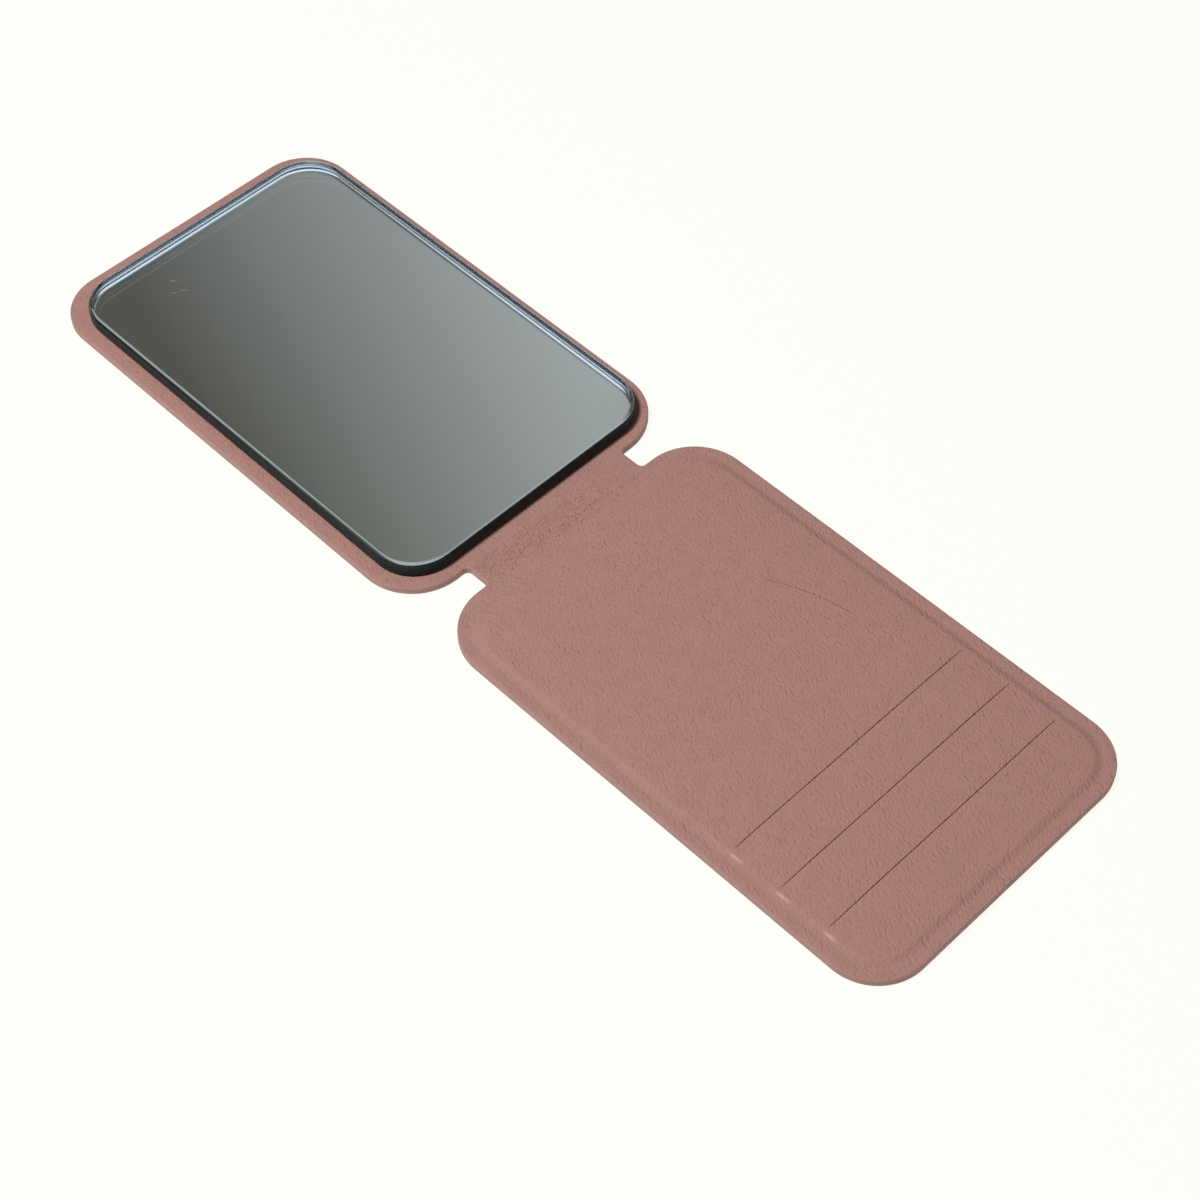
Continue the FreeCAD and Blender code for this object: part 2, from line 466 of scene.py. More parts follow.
class Shader:
    """Builds the nodes of one material or of the world."""

    def __init__(self, owner: bpy.types.Material | bpy.types.World) -> None:
        """Clears the owner's nodes and starts again."""
        owner.use_nodes = True
        self.owner = owner
        self.tree = owner.node_tree
        self.tree.nodes.clear()

    @classmethod
    def for_material(cls, name: str) -> "Shader":
        """Shader of a new material."""
        return cls(bpy.data.materials.new(name))

    def node(self, kind: str, settings: dict | None = None, values: dict | None = None,
             output: int | str = 0) -> Value:
        """Adds a node of any kind.

        Args:
            kind: type of the node.
            settings: properties of the node, set first.
            values: numbers, colours or links of its input sockets, by name or number.
            output: name or number of the output that is wanted.

        Returns:
            That output.
        """
        made = self.tree.nodes.new(kind)
        for name, setting in (settings or {}).items():
            setattr(made, name, setting)
        for name, value in (values or {}).items():
            if isinstance(value, Value):
                self.tree.links.new(value.socket, made.inputs[name])
            else:
                made.inputs[name].default_value = value
        return Value(self, made.outputs[output])

    def mixed(self, share: Value, first: Value | Colour, second: Value | Colour) -> Value:
        """Colour that goes from the first to the second with the share."""
        values = {0: share, 6: self.colour(first), 7: self.colour(second)}
        return self.node("ShaderNodeMix", {"data_type": "RGBA"}, values, output=2)

    def colour(self, colour: Value | Colour) -> Value | tuple[float, float, float, float]:
        """A colour in the form that a socket takes."""
        return colour if isinstance(colour, Value) else (*colour, 1.0)

    def place(self, u: Value | float, v: Value | float, w: Value | float = 0.0) -> Value:
        """Vector put together from its parts."""
        return self.node("ShaderNodeCombineXYZ", None, {0: u, 1: v, 2: w})

    def parts(self, vector: Value) -> tuple[Value, Value, Value]:
        """The three parts of a vector."""
        made = self.node("ShaderNodeSeparateXYZ", None, {0: vector}).socket.node
        return tuple(Value(self, socket) for socket in made.outputs)

    def clouds(self, vector: Value, scale: float, detail: float = 2.0,
               roughness: float = 0.5) -> Value:
        """Soft noise between 0 and 1."""
        values = {"Vector": vector, "Scale": scale, "Detail": detail, "Roughness": roughness}
        return self.node("ShaderNodeTexNoise", {"noise_dimensions": "3D"}, values)

    def pebbles(self, vector: Value, softness: float) -> Value:
        """Distance to the middle of the nearest of many cells about one unit across."""
        settings = {"voronoi_dimensions": "2D", "feature": "SMOOTH_F1"}
        values = {"Vector": vector, "Scale": 1.0, "Smoothness": softness}
        return self.node("ShaderNodeTexVoronoi", settings, values)

    def rest_place(self) -> Value:
        """Place on a bending piece as it lies at rest, in millimetres."""
        settings = {"attribute_type": "GEOMETRY", "attribute_name": REST_PLACE}
        return self.node("ShaderNodeAttribute", settings, None, output="Vector")

    def object_place(self) -> Value:
        """Place on a stiff piece, in millimetres."""
        place = self.node("ShaderNodeTexCoord", None, None, output="Object")
        values = {0: place, "Scale": 1.0 / MM}
        return self.node("ShaderNodeVectorMath", {"operation": "SCALE"}, values)

    def bump(self, height: Value, depth: float) -> Value:
        """Normal bent by a height.

        Args:
            height: height over the surface, of about one unit.
            depth: depth of that unit, in millimetres.

        Returns:
            The normal.
        """
        values = {"Strength": 1.0, "Distance": depth * MM, "Height": height}
        return self.node("ShaderNodeBump", None, values, output="Normal")

    def surface(self, values: dict) -> Value:
        """Principled surface with the given socket values."""
        return self.node("ShaderNodeBsdfPrincipled", None, values)

    def shown_if(self, share: Value | float, first: Value, second: Value) -> Value:
        """Mix of two surfaces, the second where the share is 1."""
        return self.node("ShaderNodeMixShader", None, {0: share, 1: first, 2: second})

    def to_eye(self) -> Value:
        """1 for rays that the camera sees directly, in a shine or through glass."""
        made = self.node("ShaderNodeLightPath").socket.node
        names = ("Is Camera Ray", "Is Glossy Ray", "Is Transmission Ray")
        seen, shine, through = (Value(self, made.outputs[name]) for name in names)
        return seen.at_least(shine).at_least(through)

    def camera_ray(self) -> Value:
        """1 for rays that the camera sees directly."""
        return self.node("ShaderNodeLightPath", None, None, output="Is Camera Ray")

    def finish(self, surface: Value) -> bpy.types.Material | bpy.types.World:
        """Joins the surface to the output and gives back its owner."""
        is_world = isinstance(self.owner, bpy.types.World)
        kind = "ShaderNodeOutputWorld" if is_world else "ShaderNodeOutputMaterial"
        output = self.tree.nodes.new(kind)
        self.tree.links.new(surface.socket, output.inputs["Surface"])
        return self.owner


@dataclass(frozen=True)
class LeatherFinish:
    """Matte rose leather with a fine drawn grain, soft mottling, wrinkles and a crease, with painted
    shade in valleys and creases and painted highlights on the step.
    """

    grain_width: float = 0.46
    grain_length: float = 0.74
    grain_lean: float = 25.0
    grain_wander: float = 1.1
    grain_softness: float = 0.45
    grain_weakest: float = 0.65
    grain_depth: float = 0.072
    pore_share: float = 0.5
    valley_shade_share: float = 0.15
    mottle_size: float = 2.6
    fleck_share: float = 0.35
    roughness: float = 0.62
    roughness_change: float = 0.12
    shine: float = 0.3
    wrinkle_depth: float = 1.2
    wrinkle_zone: tuple[float, float] = (-3.6, 0.9)
    wrinkle_zone_fade: float = 1.6
    wrinkle_half_width: float = 0.07
    deep_line: float = -2.3
    deep_line_slope: float = 0.079
    deep_line_half_width: float = 0.32
    deep_line_reach: tuple[float, float] = (-18.0, 21.0)
    deep_line_share: float = 1.2
    crease_start: Place = (15.9, -37.0)
    crease_slope: float = 0.55
    crease_bow: float = 0.0145
    crease_half_width: float = 0.28
    crease_length: float = 14.5
    crease_depth: float = 1.6
    # Scuffs on the step beside the slits, painted pale as highlights.
    scuff_highlight_line: float = -29.6
    scuff_highlight_half_width: float = 0.42
    scuff_highlight_places: tuple[float, ...] = (-72.2, -82.5, -92.7)
    scuff_highlight_half_length: float = 2.8
    scuff_highlight_share: float = 0.55
    faint_scuff_highlight: float = 0.16
    faint_scuff_highlight_reach: tuple[float, float] = (-96.0, -8.0)

    def grain(self, shader: Shader, place: Value) -> tuple[Value, Value]:
        """Drawn grain: long soft pebbles, stronger in some places than in others.

        Args:
            shader: shader that the nodes go into.
            place: place on the leather.

        Returns:
            The height and the valleys.
        """
        x, y, _ = shader.parts(place)
        lean = math.radians(self.grain_lean)
        wander = (shader.clouds(place, 0.16, 1.0) - 0.5) * (2.0 * self.grain_wander)
        jitter = (shader.clouds(place, 0.9, 2.0) - 0.5) * (self.grain_width * 0.5)
        along = x * math.sin(lean) + y * math.cos(lean) + jitter
        across = x * math.cos(lean) - y * math.sin(lean) + wander + jitter
        cells = shader.place(across / self.grain_width, along / self.grain_length)
        pebble = shader.pebbles(cells, self.grain_softness)
        patches = shader.clouds(place, 0.3, 1.0).soft_step(0.25, 0.7)
        strength = patches * (1.0 - self.grain_weakest) + self.grain_weakest
        valley = pebble.soft_step(0.35, 0.8) * strength
        pores = shader.clouds(place, 3.4, 2.0, 0.55)
        height = (1.0 - pebble ** 2.0 * 2.2) * strength + pores * self.pore_share
        return height, valley

    def neck_wrinkles(self, shader: Shader, place: Value) -> Value:
        """Fine wrinkles along the bending neck, with one deeper line through them."""
        x, y, _ = shader.parts(place)
        drift = (shader.clouds(place, 0.22, 2.0) - 0.5) * 2.4
        stretched = shader.place(x * 0.3, (y + drift * 0.6) * 1.2)
        furrows = (shader.clouds(stretched, 1.0, 1.0) - 0.5).soft_line(self.wrinkle_half_width)
        zone = (y + x * 0.05 + drift * 0.4).between(*self.wrinkle_zone, self.wrinkle_zone_fade)
        reach = 1.0 - x.soft_step(2.0, 16.0) * 0.75
        off_line = y - self.deep_line + x * self.deep_line_slope
        off_line = off_line + (x * 0.48 + 0.6).sine() * 0.35 + drift * 0.22
        line = off_line.soft_line(self.deep_line_half_width) * x.between(*self.deep_line_reach, 1.5)
        return -(furrows * zone * reach + line * self.deep_line_share)

    def field_crease(self, shader: Shader, place: Value) -> Value:
        """One fine old crease across the card field."""
        x, y, _ = shader.parts(place)
        start_x, start_y = self.crease_start
        down = start_y - y
        drift = (shader.clouds(place, 0.9, 2.0) - 0.5) * 0.5
        off_line = x - start_x - down * self.crease_slope + down * down * self.crease_bow + drift
        return off_line.soft_line(self.crease_half_width) * down.between(0.0, self.crease_length, 1.2)

    def scuffs_and_highlights(self, shader: Shader, place: Value) -> Value:
        """Pale streaks on the step beside the ends of the slits: rubbed leather with a painted
        highlight.
        """
        x, y, _ = shader.parts(place)
        speck = shader.clouds(shader.place(x * 1.5, y * 0.5), 4.6, 3.0, 0.7)
        band = (x - self.scuff_highlight_line).soft_line(self.scuff_highlight_half_width)
        rubbed_and_lit = y.between(*self.faint_scuff_highlight_reach, 3.0) * self.faint_scuff_highlight
        for middle in self.scuff_highlight_places:
            rubbed_and_lit = rubbed_and_lit.at_least((y - middle).soft_line(self.scuff_highlight_half_length))
        return band * (speck - 0.6 + rubbed_and_lit * 0.3).soft_step(0.0, 0.2)

    def material(self, name: str, marked: bool) -> bpy.types.Material:
        """Material of the inner or the outer leather.

        Args:
            name: name of the material.
            marked: whether it has the wrinkles and the crease of the inner side with their painted
                shade, and the scuffs with their painted highlights.

        Returns:
            The material.
        """
        shader = Shader.for_material(name)
        place = shader.rest_place()
        height, valley = self.grain(shader, place)
        mottle = shader.clouds(place, 1.0 / self.mottle_size, 3.0).soft_step(0.3, 0.7)
        flecks = shader.clouds(place, 0.8, 2.0).soft_step(0.35, 0.75)
        colour = shader.mixed(mottle, Tint.ROSE_COOL.value, Tint.ROSE_WARM.value)
        colour = shader.mixed(flecks * self.fleck_share, colour, Tint.ROSE.value)
        # Painted shade: the grain's valleys are darkened in the colour.
        colour = shader.mixed(valley * self.valley_shade_share, colour, Tint.ROSE_SHADE_AND_FIBRE.value)
        rough = self.roughness + (mottle - 0.5) * self.roughness_change + valley * 0.08
        if marked:
            wrinkles = self.neck_wrinkles(shader, place)
            crease = self.field_crease(shader, place)
            scuff_and_highlight = self.scuffs_and_highlights(shader, place)
            height = height + wrinkles * self.wrinkle_depth - crease * self.crease_depth
            # Painted shade: the wrinkles and the crease are darkened in the colour.
            dark = (-wrinkles).soft_step(0.3, 1.4) * 0.05 + crease * 0.2
            colour = shader.mixed(dark, colour, Tint.ROSE_SHADE_AND_FIBRE.value)
            # Painted highlight: pale streaks on the step beside the slit ends, where the leather is also
            # rubbed.
            colour = shader.mixed(scuff_and_highlight * self.scuff_highlight_share, colour, Tint.SCUFF_AND_HIGHLIGHT.value)
            rough = rough + scuff_and_highlight * 0.1
        normal = shader.bump(height, self.grain_depth)
        return shader.finish(shader.surface({"Base Color": colour, "Roughness": rough,
                                             "Normal": normal, "Specular IOR Level": self.shine}))


@dataclass(frozen=True)
class EdgeFinish:
    """Cut and burnished leather edge, smoother and a little paler than the grain side."""

    fibre_depth: float = 0.02
    fibre_share: float = 0.2
    roughness: float = 0.5
    shine: float = 0.35

    def material(self, name: str) -> bpy.types.Material:
        """Material of the cut edges."""
        shader = Shader.for_material(name)
        place = shader.rest_place()
        x, y, z = shader.parts(place)
        fibre = shader.clouds(shader.place(x * 0.8, y * 0.8, z * 4.0), 1.6, 3.0, 0.6)
        streak = shader.clouds(place, 0.35, 2.0).soft_step(0.35, 0.65)
        colour = shader.mixed(streak, Tint.ROSE_EDGE.value, Tint.ROSE.value)
        dark = fibre.soft_step(0.5, 0.8) * self.fibre_share
        colour = shader.mixed(dark, colour, Tint.ROSE_SHADE_AND_FIBRE.value)
        rough = self.roughness + (fibre - 0.5) * self.fibre_share
        normal = shader.bump(fibre, self.fibre_depth)
        return shader.finish(shader.surface({"Base Color": colour, "Roughness": rough,
                                             "Normal": normal, "Specular IOR Level": self.shine}))


@dataclass(frozen=True)
class GlassFinish:
    """Clear glass with a faint cool tone, a trace of dust and three tiny scratches."""

    index: float = 1.52
    scratch_places: tuple[Place, ...] = ((-13.3, 92.0), (-13.45, 88.7), (-15.2, 89.4))
    scratch_lean: float = 0.9
    scratch_fade_length: float = 1.5
    scratch_fade_width: float = 0.18
    scratch_share: float = 0.32
    dust_share: float = 0.02
    dust_roughness: float = 0.7

    def scratches(self, shader: Shader, place: Value) -> Value:
        """Short fine scratches on the front of the glass."""
        x, y, _ = shader.parts(place)
        wobble = (shader.clouds(place, 1.4, 1.0) - 0.5) * 0.5
        marks = None
        for u, v in self.scratch_places:
            along = (x - u) - (y - v) * self.scratch_lean
            across = (x - u) * self.scratch_lean + (y - v) + wobble
            mark = (along.soft_line(self.scratch_fade_length)
                    * across.soft_line(self.scratch_fade_width))
            marks = mark if marks is None else marks.at_least(mark)
        return marks

    def material(self, name: str) -> bpy.types.Material:
        """Material of the mirror's glass."""
        shader = Shader.for_material(name)
        place = shader.object_place()
        dust = shader.clouds(place, 1.9, 4.0, 0.7).soft_step(0.70, 0.78) * self.dust_share
        marks = self.scratches(shader, place) * self.scratch_share
        clear = shader.surface({"Base Color": shader.colour(Tint.GLASS.value), "Roughness": 0.0,
                                "IOR": self.index, "Transmission Weight": 1.0})
        film = shader.surface({"Base Color": shader.colour(Tint.DUST.value),
                               "Roughness": self.dust_roughness})
        return shader.finish(shader.shown_if(dust.at_least(marks), clear, film))


@dataclass(frozen=True)
class SilverFinish:
    """Reflecting coat under the glass, with a barely uneven tone."""

    roughness: float = 0.004
    darkest: float = 0.975
    paint_roughness: float = 0.5
    paint_fade: float = 0.01

    def tone(self, shader: Shader, place: Value) -> Value:
        """Colour of the bright coat."""
        uneven = shader.clouds(place, 0.05, 2.0)
        darker = tuple(part * self.darkest for part in Tint.SILVER.value)
        return shader.mixed(uneven, Tint.SILVER.value, darker)

    def material(self, name: str) -> bpy.types.Material:
        """Material of a coat that is bright all over."""
        shader = Shader.for_material(name)
        colour = self.tone(shader, shader.object_place())
        return shader.finish(shader.surface({"Base Color": colour, "Metallic": 1.0,
                                             "Roughness": self.roughness}))

    def backed_material(self, name: str, top: float) -> bpy.types.Material:
        """Material of a coat that is bright on top, with backing paint on its edge and underside.

        Args:
            name: name of the material.
            top: height of the bright face, in millimetres.

        Returns:
            The material.
        """
        shader = Shader.for_material(name)
        place = shader.object_place()
        bright = shader.parts(place)[2].soft_step(top - 2.0 * self.paint_fade, top - self.paint_fade)
        colour = shader.mixed(bright, Tint.RIM_PAINT_AND_SHADE.value, self.tone(shader, place))
        rough = self.paint_roughness + bright * (self.roughness - self.paint_roughness)
        return shader.finish(shader.surface({"Base Color": colour, "Metallic": bright,
                                             "Roughness": rough}))


@dataclass(frozen=True)
class RimFinish:
    """Dark paint that seals the coat on the edge of the glass, reaching up its front rounding as a
    painted shade band.
    """

    roughness: float = 0.22
    shine: float = 0.05
    wear_size: float = 1.5
    wear_roughness: float = 0.1

    def material(self, name: str) -> bpy.types.Material:
        """Material of the dark paint on the edge and of its painted shade band."""
        shader = Shader.for_material(name)
        place = shader.object_place()
        wear = shader.clouds(place, 1.0 / self.wear_size, 3.0, 0.6).soft_step(0.4, 0.75)
        colour = shader.mixed(wear, Tint.RIM_PAINT_AND_SHADE.value, Tint.RIM_WEAR.value)
        rough = self.roughness + wear * self.wear_roughness
        return shader.finish(shader.surface({"Base Color": colour, "Roughness": rough,
                                             "Specular IOR Level": self.shine}))


@dataclass(frozen=True)
class FoamFinish:
    """Dark closed-cell foam tape."""

    cell_depth: float = 0.06
    roughness: float = 0.9
    roughness_change: float = 0.15

    def material(self, name: str) -> bpy.types.Material:
        """Material of the pad under the glass."""
        shader = Shader.for_material(name)
        place = shader.object_place()
        cells = shader.clouds(place, 4.0, 3.0, 0.6)
        colour = shader.mixed(cells.soft_step(0.5, 0.75), Tint.PAD.value, Tint.PAD_SPECK.value)
        rough = self.roughness - cells * self.roughness_change
        return shader.finish(shader.surface({"Base Color": colour, "Roughness": rough,
                                             "Normal": shader.bump(cells, self.cell_depth)}))


@dataclass(frozen=True)
class BoardFinish:
    """Grey-brown pressed board with short fibres."""

    fibre_depth: float = 0.04
    roughness: float = 0.85
    roughness_change: float = 0.1

    def material(self, name: str) -> bpy.types.Material:
        """Material of the stiffening boards."""
        shader = Shader.for_material(name)
        place = shader.object_place()
        x, y, z = shader.parts(place)
        fibre = shader.clouds(shader.place(x * 1.8, y * 0.5, z * 3.0), 1.0, 4.0, 0.65)
        colour = shader.mixed(fibre.soft_step(0.4, 0.7), Tint.BOARD.value, Tint.BOARD_FIBRE.value)
        rough = self.roughness + fibre * self.roughness_change
        return shader.finish(shader.surface({"Base Color": colour, "Roughness": rough,
                                             "Normal": shader.bump(fibre, self.fibre_depth)}))


@dataclass(frozen=True)
class LiningFinish:
    """Thin dark brown cloth with a plain weave."""

    thread_pitch: float = 0.34
    thread_depth: float = 0.05
    roughness: float = 0.8
    roughness_change: float = 0.1

    def material(self, name: str) -> bpy.types.Material:
        """Material of the pocket liners and of the tape in the neck."""
        shader = Shader.for_material(name)
        place = shader.object_place()
        x, y, _ = shader.parts(place)
        turn = 2.0 * math.pi / self.thread_pitch
        weave = (x * turn).sine() * (y * turn).sine() * 0.5 + 0.5
        wear = shader.clouds(place, 0.5, 3.0)
        colour = shader.mixed(weave * 0.6 + wear * 0.3, Tint.LINING.value, Tint.LINING_THREAD.value)
        rough = self.roughness + wear * self.roughness_change
        return shader.finish(shader.surface({"Base Color": colour, "Roughness": rough,
                                             "Normal": shader.bump(weave, self.thread_depth)}))


@dataclass(frozen=True)
class RaisedField:
    """Moulded field of an inner leather: its foot, its top, and how far it rises."""

    foot: RoundedRectangle
    top: RoundedRectangle
    rise: float
    hollow_wall: float
    hollow_rise: float
    hollow_step: float = 0.7
    groove_depth: float = 0.05
    groove_run: float = 1.3
    crown_share: float = 0.3
    crown_run: float = 9.0
    ring_count: int = 12
    groove_rings: int = 3

    def share(self, u: float, v: float) -> float:
        """How far up the step a place is, from 0 at the foot to 1 at the top."""
        from_foot = self.foot.depth(u, v)
        to_top = -self.top.depth(u, v)
        if from_foot <= 0.0:
            return 0.0
        return 1.0 if to_top <= 0.0 else from_foot / (from_foot + to_top)

    def height(self, u: float, v: float) -> float:
        """Rise of the moulded surface: a groove at the foot, the step, then a gentle crown."""
        depth = self.foot.depth(u, v)
        groove = self.groove_depth * smooth_share(1.0 + depth / self.groove_run)
        risen = lerp(smooth_share(self.share(u, v)), smooth_share(depth / self.crown_run),
                     self.crown_share)
        return (self.rise + self.groove_depth) * risen - groove

    def rings(self) -> list[list[Place]]:
        """Guide lines round the groove and the step, from the margin to the top."""
        groove = [self.foot.inset(-self.groove_run * step / self.groove_rings).ring()
                  for step in range(self.groove_rings, 0, -1)]
        shares = [step / self.ring_count for step in range(self.ring_count + 1)]
        return groove + [self.foot.towards(self.top, share).ring() for share in shares]

    def hollow_rings(self) -> list[tuple[list[Place], float]]:
        """Guide lines of the hollow underneath, each with its height above the sheet's back."""
        edge = self.foot.inset(self.hollow_wall)
        return [(edge.ring(), 0.0), (edge.inset(self.hollow_step).ring(), self.hollow_rise)]


@dataclass(frozen=True)
class CardSlit:
    """One cut across the card field, a narrow lens with soft lips."""

    place: float
    half_length: float
    width: float = 0.09
    lip: float = 0.15
    waver: float = 0.05
    fade_length: float = 0.8
    steps: int = 40

    def lip_share(self, u: float) -> float:
        """How far the lips drop at a place along the cut: not at its ends, and in full between."""
        return smooth_share((self.half_length - abs(u)) / self.fade_length)

    def centre(self, u: float) -> float:
        """Distance of the cut from the fold, which wavers a little."""
        return self.place + self.waver * noise(Vector((u * 0.11, self.place, 0.0)))

    def half_width(self, u: float, offset: float) -> float:
        """Half the opening at a place along the cut, widened by an offset."""
        along = min(abs(u) / (self.half_length + offset), 1.0)
        return (self.width / 2 + offset) * math.sqrt(1.0 - along ** 8)

    def loop(self, offset: float) -> list[Place]:
        """Closed line round the cut, an offset away from it."""
        reach = self.half_length + offset
        stations = [reach * math.sin(math.pi * step / self.steps - math.pi / 2)
                    for step in range(self.steps + 1)]
        near_side = [(u, self.centre(u) - self.half_width(u, offset)) for u in stations]
        far_side = [(u, self.centre(u) + self.half_width(u, offset)) for u in stations]
        return near_side + far_side[-2:0:-1]

    def holds(self, u: float, v: float, offset: float = 0.0) -> bool:
        """Whether a place lies inside the closed line drawn an offset away from the cut."""
        reach = self.waver + self.width / 2 + offset
        if abs(u) >= self.half_length + offset or abs(v - self.place) >= reach:
            return False
        line = self.loop(offset)
        inside = False
        for (start_u, start_v), (end_u, end_v) in zip(line, line[1:] + line[:1]):
            if (start_v > v) != (end_v > v):
                crossing = lerp(start_u, end_u, (v - start_v) / (end_v - start_v))
                inside = inside != (u < crossing)
        return inside


@dataclass
class LeatherSheet:
    """One half of a dog-bone leather sheet: a panel and half of the neck, made as a closed skin."""

    side: Side
    plan: PanelPlan
    name: str
    slot: str
    nodes: tuple[str, ...]
    bottom: float
    top: float
    upper_round: float
    lower_round: float
    raised: RaisedField | None = None
    slits: tuple[CardSlit, ...] = ()
    round_steps: int = 5
    fine_spacing: float = 0.3
    coarse_spacing: float = 2.4
    column_spacing: float = 1.6
    fine_reach: float = 6.5
    wave_height: float = 0.05
    wave_length: float = 26.0
    bend_start: float = 1.3
    bend_end: float = 3.9
    edge_share: float = 0.5
    points: list[Point] = field(default_factory=list)
    faces: list[list[int]] = field(default_factory=list)
    finishes: list[int] = field(default_factory=list)

    def wave(self, u: float, v: float) -> float:
        """Gentle unevenness of the skin, the same on both sides of the seam on the fold."""
        x, y = self.side.turned(u, v)
        return self.wave_height * noise(Vector((x, y, 0.0)) / self.wave_length)

    def upper_height(self, u: float, v: float) -> float:
        """Height of the upper face away from the cut edge."""
        if not self.raised:
            return self.top
        return self.top + self.raised.height(u, v) + self.wave(u, v)

    def is_hole(self, u: float, v: float) -> bool:
        """Whether a place is cut away by a slit."""
        return any(slit.holds(u, v) for slit in self.slits)

    def rounding(self, radius: float) -> list[tuple[float, float]]:
        """Inset and drop of each line round a rounded edge, from the wall inwards."""
        return [(radius * (1.0 - math.cos(turn)), radius * (1.0 - math.sin(turn)))
                for turn in quarter_turns(self.round_steps)]

    def loose_points(self, clear: float, spacing: float) -> list[Place]:
        """Points between the guide lines, closer together where the skin bends.

        Args:
            clear: distance kept from the cut edge.
            spacing: distance between rows away from the bend.

        Returns:
            The places.
        """
        far = self.plan.panel.far
        rows = spread(0.0, self.fine_reach, self.fine_spacing)
        rows += spread(self.fine_reach, far, spacing)[1:]
        reach = self.plan.panel.half_width
        columns = spread(-reach, reach, self.column_spacing)
        return [(u, v) for v in rows for u in columns if self.plan.depth(u, v) > clear]

    def draw_edge(self, face: SkinFace, height: Height, radius: float, sign: float) -> list[int]:
        """Draws the lines of a rounded cut edge on one face.

        Args:
            face: face that they go on.
            height: height of that face away from the edge.
            radius: radius of the rounding.
            sign: 1 where the rounding drops from the face, -1 where it rises from it.

        Returns:
            The numbers of the outermost line.
        """
        outer = []
        for inset, drop in self.rounding(radius):
            line = face.chain(self.plan.edge(inset), lambda u, v, d=drop: height(u, v) - sign * d)
            outer = outer or line
        face.lines.append((outer[-1], outer[0]))
        return outer

    def draw_upper(self) -> tuple[SkinFace, list[int], list[list[int]]]:
        """Draws the upper face, with its edge, its raised field and the lips of its slits."""
        face = SkinFace(self.upper_height)
        outer = self.draw_edge(face, self.upper_height, self.upper_round, 1.0)
        loose = self.loose_points(self.upper_round + self.fine_spacing, self.coarse_spacing)
        if self.raised:
            for ring in self.raised.rings():
                face.chain(ring, self.upper_height, closed=True)
            loose = [(u, v) for u, v in loose if not 0.0 < self.raised.share(u, v) < 1.0]
        cuts = []
        for slit in self.slits:
            cuts.append(self.draw_lips(face, slit))
            loose = [(u, v) for u, v in loose if not slit.holds(u, v, self.fine_spacing)]
        face.scatter(loose, self.upper_height)
        return face, outer, cuts

    def draw_lips(self, face: SkinFace, slit: CardSlit) -> list[int]:
        """Draws the rounded lips of one slit on the upper face.

        Args:
            face: face that they go on.
            slit: cut that they run round.

        Returns:
            The numbers of the line along the cut itself.
        """
        lines = []
        for inset, drop in self.rounding(slit.lip):
            lines.append(face.chain(
                slit.loop(inset),
                lambda u, v, d=drop: self.upper_height(u, v) - d * slit.lip_share(u), closed=True))
        return lines[0]

    def draw_lower(self) -> tuple[SkinFace, list[int], list[list[int]]]:
        """Draws the lower face, with its edge, the hollow under the field and the slits."""
        face = SkinFace(lambda u, v: self.bottom)
        outer = self.draw_edge(face, lambda u, v: self.bottom, self.lower_round, -1.0)
        loose = self.loose_points(self.lower_round + self.fine_spacing, 2.0 * self.coarse_spacing)
        if self.raised:
            (foot, _), (top, rise) = self.raised.hollow_rings()
            face.chain(foot, lambda u, v: self.bottom, closed=True)
            face.chain(top, lambda u, v: self.bottom + rise, closed=True)
            hollow = self.raised.foot.inset(self.raised.hollow_wall)
            loose = [(u, v) for u, v in loose if hollow.depth(u, v) < -self.fine_spacing]
        cuts = []
        for slit in self.slits:
            level = self.bottom + self.raised.hollow_rise
            cuts.append(face.chain(slit.loop(0.0), lambda u, v: level, closed=True))
        face.scatter(loose, lambda u, v: self.bottom)
        return face, outer, cuts

    def add_face(self, face: SkinFace, upwards: bool) -> dict[int, int]:
        """Adds the triangles of one face to the skin.

        Args:
            face: drawn face.
            upwards: whether it looks up.

        Returns:
            Number in the skin of each drawn point.
        """
        points, triangles, went = face.triangles(self.is_hole)
        first = len(self.points)
        self.points += [(*self.side.turned(u, v), z) for u, v, z in points]
        radius = self.upper_round if upwards else self.lower_round
        for corners in triangles:
            (ax, ay, _), (bx, by, _), (cx, cy, _) = (points[corner] for corner in corners)
            turns_left = (bx - ax) * (cy - ay) - (by - ay) * (cx - ax) > 0.0
            ordered = corners if turns_left == upwards else corners[::-1]
            self.faces.append([first + corner for corner in ordered])
            depth = self.plan.depth((ax + bx + cx) / 3, (ay + by + cy) / 3)
            self.finishes.append(1 if depth < radius * self.edge_share else 0)
        return {number: first + index for number, index in went.items()}

    def add_wall(self, upper: Sequence[int], lower: Sequence[int], closed: bool) -> None:
        """Joins matching lines of the two faces by a wall."""
        pairs = list(zip(upper, lower))
        following = pairs[1:] + pairs[:1] if closed else pairs[1:]
        for (top_a, low_a), (top_b, low_b) in zip(pairs, following):
            self.faces.append([top_a, low_a, low_b, top_b])
            self.finishes.append(1)

    def add_seam(self) -> None:
        """Closes the skin on the fold, where it meets the other half."""
        on_fold = [index for index, point in enumerate(self.points) if abs(point[1]) < MERGE_DISTANCE]
        middle = (self.bottom + self.top) / 2
        upper = sorted((i for i in on_fold if self.points[i][2] > middle),
                       key=lambda i: self.points[i][0])
        lower = sorted((i for i in on_fold if self.points[i][2] <= middle),
                       key=lambda i: -self.points[i][0])
        self.faces.append(upper + lower if self.side is Side.CARD else (upper + lower)[::-1])
        self.finishes.append(1)

